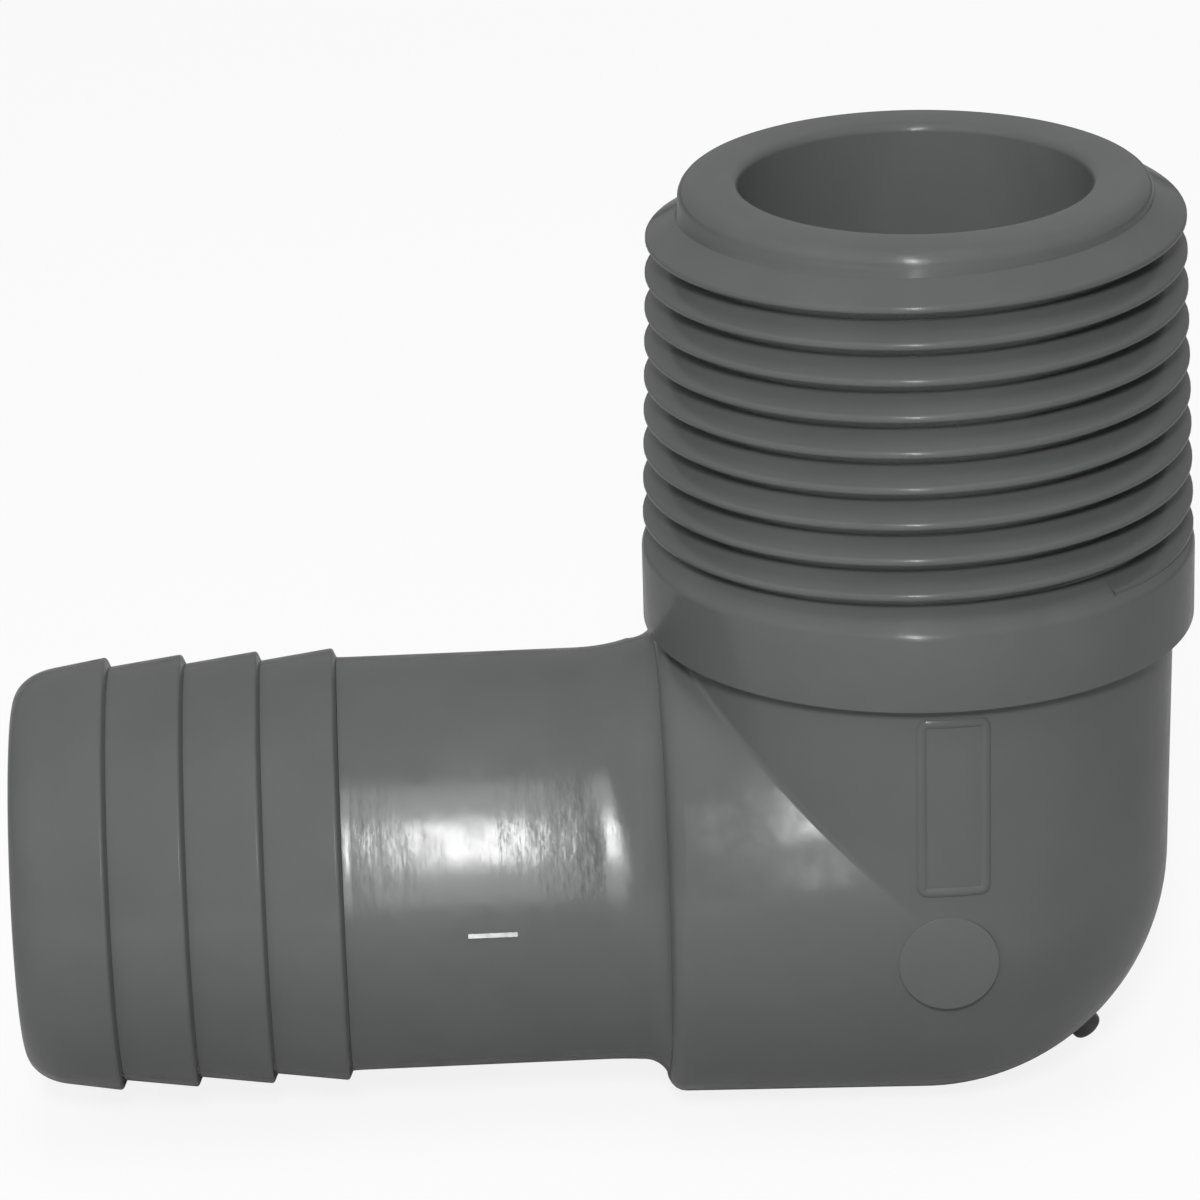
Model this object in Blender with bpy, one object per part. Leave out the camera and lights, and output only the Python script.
"""Male-threaded pipe elbow for irrigation: a tapered pipe thread above, a barbed hose tail to the side.

The fitting is one plastic moulding. It is modelled as the lengths that a fitter would name, each a closed
solid, which meet face to face where the moulding changes form. Sizes are in millimetres until MM turns them
into metres. The origin is the centre of the thread's open end, +Z runs out of that end, and the hose tail
points along -X.
"""

import math

import bmesh
import bpy
from mathutils import Vector

MM = 0.001
SEGMENTS = 48  # flats round every turned surface, a multiple of four

# Waterway, one bore through both legs; every outer radius below is this bore and a wall
BORE_RADIUS = 10.65

# Elbow, from the crossing of the two axes
ELBOW_WALL = 4.85
COLLAR_DRAFT = 0.23  # the upper leg opens a little towards the collar
STEP_DRAFT = 0.3  # and the lower leg closes towards the tail
ELBOW_STEP_ROUND = 0.8
STEP_ROUND_SHARE = 0.8  # most of the room that the crease leaves, which the rounded edge may take
CROTCH_TO_COLLAR = 0.26  # from the crease's inner corner up to the collar
CROTCH_TO_TAIL_STEP = 0.65
HEEL_STEPS = 12
HEEL_BORE_STEPS = 8

# Gate stub, the sprue's cut end on the heel
GATE_BELOW = math.radians(52)  # under the level line out of the heel
GATE_RADIUS = 1.0
GATE_HEIGHT = 1.8
GATE_ROOT = 1.5
GATE_SIDES = 12

# Shoulder collar, just proud of the thread's crests
COLLAR_PROUD = 0.1
COLLAR_BAND = 4.84
COLLAR_CHAMFER_HEIGHT = 1.5  # a cone from the collar's band in to the thread's root
COLLAR_EDGE_ROUND = 0.3

# Tapered pipe thread, 11.5 turns to the inch, 60 degree flanks
SPIGOT_LENGTH = 21.56
SPIGOT_WALL = 4.69  # from the bore to the thread's root, at the collar
THREAD_PITCH = 25.4 / 11.5
THREAD_TAPER = 1 / 32  # on the radius, which is 1 in 16 on the diameter
THREAD_DEPTH = 1.56
THREAD_FLANK = math.radians(30)
THREAD_CREST_FLAT = 0.22
THREAD_START_ANGLE = math.radians(-50)  # where the ridge leaves the collar's cone, seen from above
THREAD_START_STATION = -0.99  # the ridge's crest there, below the foot of the thread
THREAD_END_DEPTH = 1.66  # the ridge's crest at its other end, below the open end
THREAD_SEAT = 0.04  # the ridge's clearance to its core and to the collar
THREAD_FADE = 0.1  # share of a turn in which each end of the ridge dies away
THREAD_STUB = 0.2  # share of the full height left at the very end
FOOT_HALVINGS = 40  # steps of the search for a flank's foot

# Plain nose above the thread
NOSE_WALL = 3.7
NOSE_PLAIN = 1.0  # straight below the rounded rim
NOSE_LEAD = 0.6
NOSE_ROUND = 1.0
MOUTH_ROUND = 0.5

# Hose tail
TAIL_LENGTH = 40.25  # from the elbow's step to the open end
TAIL_WALL = 2.29
TAIL_FILLET = 1.45
CROTCH_RISE = 0.55  # the web that thickens the tail's top under the collar
CROTCH_LENGTH = 2.8
CROTCH_NARROWING = 2  # power of the cosine that narrows the web round the tail
LIP_SETBACK = 0.34  # the open end's rim inside the plain tail
LIP_ROUND = 1.2

# Barbs, counted from the open end
BARB_COUNT = 4
BARB_PITCH = 4.72
BARB_HEIGHT = 0.58
BARB_CREST_FLAT = 0.15
BARB_STEP = 0.4
FIRST_BARB_LENGTH = 6.1  # open end to the first step's foot

# Moulded plastic
PLASTIC_GREY = (0.125, 0.127, 0.129, 1.0)
PLASTIC_ROUGHNESS = 0.42
ROUND_STEPS = 3
SMOOTH_ANGLE = math.radians(32)

ELBOW_RADIUS = BORE_RADIUS + ELBOW_WALL
ELBOW_COLLAR_RADIUS = ELBOW_RADIUS + COLLAR_DRAFT
ELBOW_STEP_RADIUS = ELBOW_RADIUS - STEP_DRAFT
CENTRE_TO_COLLAR = ELBOW_RADIUS + CROTCH_TO_COLLAR
CENTRE_TO_TAIL_STEP = ELBOW_RADIUS + CROTCH_TO_TAIL_STEP
THREAD_ROOT_RADIUS = BORE_RADIUS + SPIGOT_WALL  # at the collar
THREAD_CREST_RADIUS = THREAD_ROOT_RADIUS + THREAD_DEPTH
THREAD_TURNS = (SPIGOT_LENGTH - THREAD_END_DEPTH - THREAD_START_STATION) / THREAD_PITCH
NOSE_RADIUS = BORE_RADIUS + NOSE_WALL
NOSE_LENGTH = NOSE_PLAIN + NOSE_ROUND
LEAD_FOOT = SPIGOT_LENGTH - NOSE_LENGTH - NOSE_LEAD  # above the collar, where the core falls to the nose
COLLAR_RADIUS = THREAD_CREST_RADIUS + COLLAR_PROUD
COLLAR_HEIGHT = COLLAR_BAND + COLLAR_CHAMFER_HEIGHT
CENTRE_TO_THREAD_END = CENTRE_TO_COLLAR + COLLAR_HEIGHT + SPIGOT_LENGTH
TAIL_RADIUS = BORE_RADIUS + TAIL_WALL
LIP_RADIUS = TAIL_RADIUS - LIP_SETBACK
BARB_RADIUS = TAIL_RADIUS + BARB_HEIGHT
BARBED_LENGTH = FIRST_BARB_LENGTH + (BARB_COUNT - 1) * BARB_PITCH
PLAIN_TAIL = TAIL_LENGTH - BARBED_LENGTH


def clear_scene():
    for thing in list(bpy.data.objects):
        bpy.data.objects.remove(thing, do_unlink=True)


def moulded_plastic(name):
    """A satin grey plastic of the part's own."""
    material = bpy.data.materials.new(name + "_plastic")
    material.use_nodes = True
    shader = material.node_tree.nodes["Principled BSDF"]
    shader.inputs["Base Color"].default_value = PLASTIC_GREY
    shader.inputs["Roughness"].default_value = PLASTIC_ROUGHNESS
    shader.inputs["Metallic"].default_value = 0.0
    material.diffuse_color = PLASTIC_GREY
    return material


def leg(name, turn):
    """An empty at the crossing of the axes, whose own +Z runs out along one leg."""
    empty = bpy.data.objects.new(name, None)
    empty.location = (0, 0, -CENTRE_TO_THREAD_END * MM)
    empty.rotation_euler = (0, turn, 0)
    bpy.context.scene.collection.objects.link(empty)
    return empty


def add_part(name, shape, parent, station=0.0):
    """Makes the finished shape a named object on a leg, `station` millimetres out from the crossing."""
    bmesh.ops.recalc_face_normals(shape, faces=shape.faces)
    bmesh.ops.scale(shape, vec=(MM, MM, MM), verts=shape.verts)
    mesh = bpy.data.meshes.new(name)
    shape.to_mesh(mesh)
    shape.free()
    mesh.shade_smooth()
    mesh.set_sharp_from_angle(angle=SMOOTH_ANGLE)
    mesh.materials.append(moulded_plastic(name))
    part = bpy.data.objects.new(name, mesh)
    part.parent = parent
    part.location = (0, 0, station * MM)
    bpy.context.scene.collection.objects.link(part)
    return part


def rounded_corner(centre, radius, start_angle, end_angle):
    """Points of an arc in (radius, station), from one angle to the other."""
    points = []
    for step in range(ROUND_STEPS + 1):
        angle = math.radians(start_angle + (end_angle - start_angle) * step / ROUND_STEPS)
        points.append((centre[0] + radius * math.cos(angle), centre[1] + radius * math.sin(angle)))
    return points


def turned(profile):
    """A closed outline of (radius, station) points, spun once round the leg's axis."""
    shape = bmesh.new()
    corners = [shape.verts.new((radius, 0, station)) for radius, station in profile]
    sides = [shape.edges.new((corners[i - 1], corners[i])) for i in range(len(corners))]
    bmesh.ops.spin(
        shape,
        geom=corners + sides,
        cent=(0, 0, 0),
        axis=(0, 0, 1),
        angle=math.tau,
        steps=SEGMENTS,
        use_merge=True,
    )
    return shape


def bridge(shape, first, second):
    """Faces between two rings of vertices. A vertex that both rings share makes a triangle or nothing."""
    for i in range(len(first)):
        corners = []
        for vertex in (first[i - 1], first[i], second[i], second[i - 1]):
            if vertex not in corners:
                corners.append(vertex)
        if len(corners) > 2:
            shape.faces.new(corners)


def thread_root_radius(station):
    """Root radius of the thread, `station` millimetres above the collar."""
    return THREAD_ROOT_RADIUS - station * THREAD_TAPER


def core_radius(station):
    """Radius of what the thread's ridge sits on: the collar's cone, then the tapered core, then the nose."""
    if station < 0:
        cone_slope = (COLLAR_RADIUS - THREAD_ROOT_RADIUS) / COLLAR_CHAMFER_HEIGHT
        return THREAD_ROOT_RADIUS - station * cone_slope
    if station < LEAD_FOOT:
        return thread_root_radius(station)
    fall = min(1.0, (station - LEAD_FOOT) / NOSE_LEAD)
    return thread_root_radius(LEAD_FOOT) + fall * (NOSE_RADIUS - thread_root_radius(LEAD_FOOT))


def threaded_spigot(parent):
    """The core under the thread, with the plain nose above it."""
    lip = rounded_corner((NOSE_RADIUS - NOSE_ROUND, SPIGOT_LENGTH - NOSE_ROUND), NOSE_ROUND, 0, 90)
    mouth = rounded_corner((BORE_RADIUS + MOUTH_ROUND, SPIGOT_LENGTH - MOUTH_ROUND), MOUTH_ROUND, 90, 180)
    profile = [
        (BORE_RADIUS, 0),
        (core_radius(0), 0),
        (core_radius(LEAD_FOOT), LEAD_FOOT),
        (NOSE_RADIUS, LEAD_FOOT + NOSE_LEAD),
        *lip,
        *mouth,
    ]
    return add_part("threaded_spigot", turned(profile), parent, CENTRE_TO_COLLAR + COLLAR_HEIGHT)


def flank_foot(crest_radius, crest_edge, side):
    """Where the flank that falls from a crest's edge, up (side 1) or down (side -1), meets the core."""
    near, far = 0.0, THREAD_PITCH
    for _ in range(FOOT_HALVINGS):
        run = (near + far) / 2
        station = crest_edge + side * run
        if crest_radius - run / math.tan(THREAD_FLANK) > core_radius(station) + THREAD_SEAT:
            near = run
        else:
            far = run
    station = crest_edge + side * near
    return core_radius(station) + THREAD_SEAT, station


def thread_section(turn):
    """The ridge's outline in (radius, station): a foot, the crest, a foot, and the seat between the feet."""
    height = THREAD_START_STATION + THREAD_PITCH * turn
    to_end = min(turn, THREAD_TURNS - turn)
    form = min(1.0, THREAD_STUB + (1 - THREAD_STUB) * to_end / THREAD_FADE)
    root = core_radius(height)
    crest_radius = root + form * (thread_root_radius(height) + THREAD_DEPTH - root)
    low = flank_foot(crest_radius, height - THREAD_CREST_FLAT / 2, -1)
    high = flank_foot(crest_radius, height + THREAD_CREST_FLAT / 2, 1)
    seat = LEAD_FOOT if low[1] < LEAD_FOOT < high[1] else (low[1] + high[1]) / 2
    return [
        low,
        (crest_radius, height - THREAD_CREST_FLAT / 2),
        (crest_radius, height + THREAD_CREST_FLAT / 2),
        high,
        (core_radius(seat) + THREAD_SEAT, seat),
    ]


def pipe_thread(parent):
    """The right-hand helical ridge, wound on the spigot's core from the collar up to the nose."""
    steps = round(THREAD_TURNS * SEGMENTS)
    shape = bmesh.new()
    sections = []
    for step in range(steps + 1):
        turn = THREAD_TURNS * step / steps
        angle = THREAD_START_ANGLE + math.tau * turn
        ring = []
        for radius, station in thread_section(turn):
            ring.append(shape.verts.new((radius * math.cos(angle), radius * math.sin(angle), station)))
        sections.append(ring)
    for first, second in zip(sections, sections[1:]):
        bridge(shape, first, second)
    shape.faces.new(sections[0])
    shape.faces.new(sections[-1])
    return add_part("pipe_thread", shape, parent, CENTRE_TO_COLLAR + COLLAR_HEIGHT)


def shoulder_collar(parent):
    """The plain band that stops a wrench and the mating socket."""
    chamfer_foot = (COLLAR_RADIUS, COLLAR_BAND)
    chamfer_top = (thread_root_radius(0), COLLAR_HEIGHT)
    slope = (Vector(chamfer_top) - Vector(chamfer_foot)).normalized() * COLLAR_EDGE_ROUND
    profile = [
        (BORE_RADIUS, 0),
        (COLLAR_RADIUS, 0),
        (COLLAR_RADIUS, COLLAR_BAND - COLLAR_EDGE_ROUND),
        (COLLAR_RADIUS + slope.x, COLLAR_BAND + slope.y),
        chamfer_top,
        (BORE_RADIUS, COLLAR_HEIGHT),
    ]
    return add_part("shoulder_collar", turned(profile), parent, CENTRE_TO_COLLAR)


def mitred_skin(shape, radius, collar_radius, heel_steps, tail_corner):
    """One skin of the elbow: two round legs that meet in a crease inside the bend and in a ball at the heel.

    Gives the ring of vertices at the collar and the ring at the tail's step. `tail_corner` gives the skin's
    last points along the lower leg, in (radius, distance from the crossing), for a leg that starts at a
    given distance.
    """
    across = [radius * math.cos(math.tau * i / SEGMENTS) for i in range(SEGMENTS)]
    sideways = [radius * math.sin(math.tau * i / SEGMENTS) for i in range(SEGMENTS)]
    quarter = SEGMENTS // 4
    inside = range(quarter, SEGMENTS - quarter + 1)

    widen = collar_radius / radius
    collar_ring = []
    crease_ring = []
    for x, y in zip(across, sideways):
        collar_ring.append(shape.verts.new((x * widen, y * widen, CENTRE_TO_COLLAR)))
    for i in range(SEGMENTS):
        crease_ring.append(shape.verts.new((across[i], sideways[i], -across[i] if i in inside else 0)))
    bridge(shape, collar_ring, crease_ring)

    ring = crease_ring
    for step in range(1, heel_steps + 1):
        angle = math.pi / 2 * step / heel_steps
        turned_ring = list(crease_ring)
        for i in range(SEGMENTS):
            if i not in inside:
                place = (across[i] * math.cos(angle), sideways[i], -across[i] * math.sin(angle))
                turned_ring[i] = shape.verts.new(place)
        bridge(shape, ring, turned_ring)
        ring = turned_ring

    starts = [-across[i] if i in inside else 0 for i in range(SEGMENTS)]
    columns = [tail_corner(start) for start in starts]
    for level in range(len(columns[0])):
        tail_ring = []
        for i, column in enumerate(columns):
            size, distance = column[level]
            place = (-distance, sideways[i] / radius * size, -across[i] / radius * size)
            tail_ring.append(shape.verts.new(place))
        bridge(shape, ring, tail_ring)
        ring = tail_ring
    return collar_ring, ring


def step_corner(start):
    """The lower leg's rounded outer edge, tighter where the crease leaves it less room."""
    round_radius = min(ELBOW_STEP_ROUND, STEP_ROUND_SHARE * (CENTRE_TO_TAIL_STEP - start))
    centre = (ELBOW_STEP_RADIUS - round_radius, CENTRE_TO_TAIL_STEP - round_radius)
    return rounded_corner(centre, round_radius, 0, 90)


def bore_end(start):
    return [(BORE_RADIUS, CENTRE_TO_TAIL_STEP)]


def gate_stub():
    """The sprue's stub, a short pin on the heel, square to it and in the parting plane."""
    heel = Vector((math.cos(GATE_BELOW), 0, -math.sin(GATE_BELOW)))
    shape = bmesh.new()
    length = GATE_ROOT + GATE_HEIGHT
    bmesh.ops.create_cone(
        shape,
        cap_ends=True,
        segments=GATE_SIDES,
        radius1=GATE_RADIUS,
        radius2=GATE_RADIUS,
        depth=length,
    )
    middle = heel * (ELBOW_RADIUS + GATE_HEIGHT - length / 2)
    for vertex in shape.verts:
        vertex.co = heel.to_track_quat("Z", "Y") @ vertex.co + middle
    return shape


def elbow_body(parent):
    shape = bmesh.new()
    outer_collar, outer_tail = mitred_skin(shape, ELBOW_RADIUS, ELBOW_COLLAR_RADIUS, HEEL_STEPS, step_corner)
    bore_collar, bore_tail = mitred_skin(shape, BORE_RADIUS, BORE_RADIUS, HEEL_BORE_STEPS, bore_end)
    bridge(shape, outer_collar, bore_collar)
    bridge(shape, outer_tail, bore_tail)
    body = add_part("elbow_body", shape, parent)

    gate = add_part("gate_stub_guide", gate_stub(), parent)
    gate.hide_render = True
    gate.display_type = "WIRE"
    join = body.modifiers.new("gate stub", "BOOLEAN")
    join.operation = "UNION"
    join.object = gate
    return body


def tail_ring(shape, radius, station, rise):
    """A ring of the hose tail, lifted on its upper side by the web under the collar."""
    ring = []
    for i in range(SEGMENTS):
        angle = math.tau * i / SEGMENTS
        size = radius + rise * max(0.0, math.cos(angle)) ** CROTCH_NARROWING
        ring.append(shape.verts.new((size * math.cos(angle), size * math.sin(angle), station)))
    return ring


def hose_tail(parent):
    """The plain length between the elbow's step and the barbs, with a fillet at the step."""
    shape = bmesh.new()
    fillet = rounded_corner((TAIL_RADIUS + TAIL_FILLET, TAIL_FILLET), TAIL_FILLET, 180, 270)
    rings = []
    for radius, station in reversed(fillet):
        share = (TAIL_RADIUS + TAIL_FILLET - radius) / TAIL_FILLET
        rings.append(tail_ring(shape, radius, station, CROTCH_RISE * share))
    rings.append(tail_ring(shape, TAIL_RADIUS, CROTCH_LENGTH + TAIL_FILLET, 0))
    rings.append(tail_ring(shape, TAIL_RADIUS, PLAIN_TAIL, 0))
    rings.append(tail_ring(shape, BORE_RADIUS, PLAIN_TAIL, 0))
    rings.append(tail_ring(shape, BORE_RADIUS, 0, 0))
    for i in range(len(rings)):
        bridge(shape, rings[i - 1], rings[i])
    return add_part("hose_tail", shape, parent, CENTRE_TO_TAIL_STEP)


def barb(number, parent):
    """One barb: a steep step that faces the elbow, and a long ramp down towards the open end."""
    last = number == 1
    length = FIRST_BARB_LENGTH if last else BARB_PITCH
    station = CENTRE_TO_TAIL_STEP + PLAIN_TAIL + (BARB_COUNT - number) * BARB_PITCH
    profile = [
        (BORE_RADIUS, 0),
        (TAIL_RADIUS, 0),
        (BARB_RADIUS, BARB_STEP),
        (BARB_RADIUS, BARB_STEP + BARB_CREST_FLAT),
    ]
    if last:
        profile += rounded_corner((LIP_RADIUS - LIP_ROUND, length - LIP_ROUND), LIP_ROUND, 0, 90)
    else:
        profile.append((TAIL_RADIUS, length))
    profile.append((BORE_RADIUS, length))
    return add_part(f"barb_{number}", turned(profile), parent, station)


def build():
    clear_scene()
    thread_leg = leg("thread_leg", 0)
    tail_leg = leg("tail_leg", -math.pi / 2)
    elbow_body(thread_leg)
    shoulder_collar(thread_leg)
    threaded_spigot(thread_leg)
    pipe_thread(thread_leg)
    hose_tail(tail_leg)
    for number in range(BARB_COUNT, 0, -1):
        barb(number, tail_leg)


build()
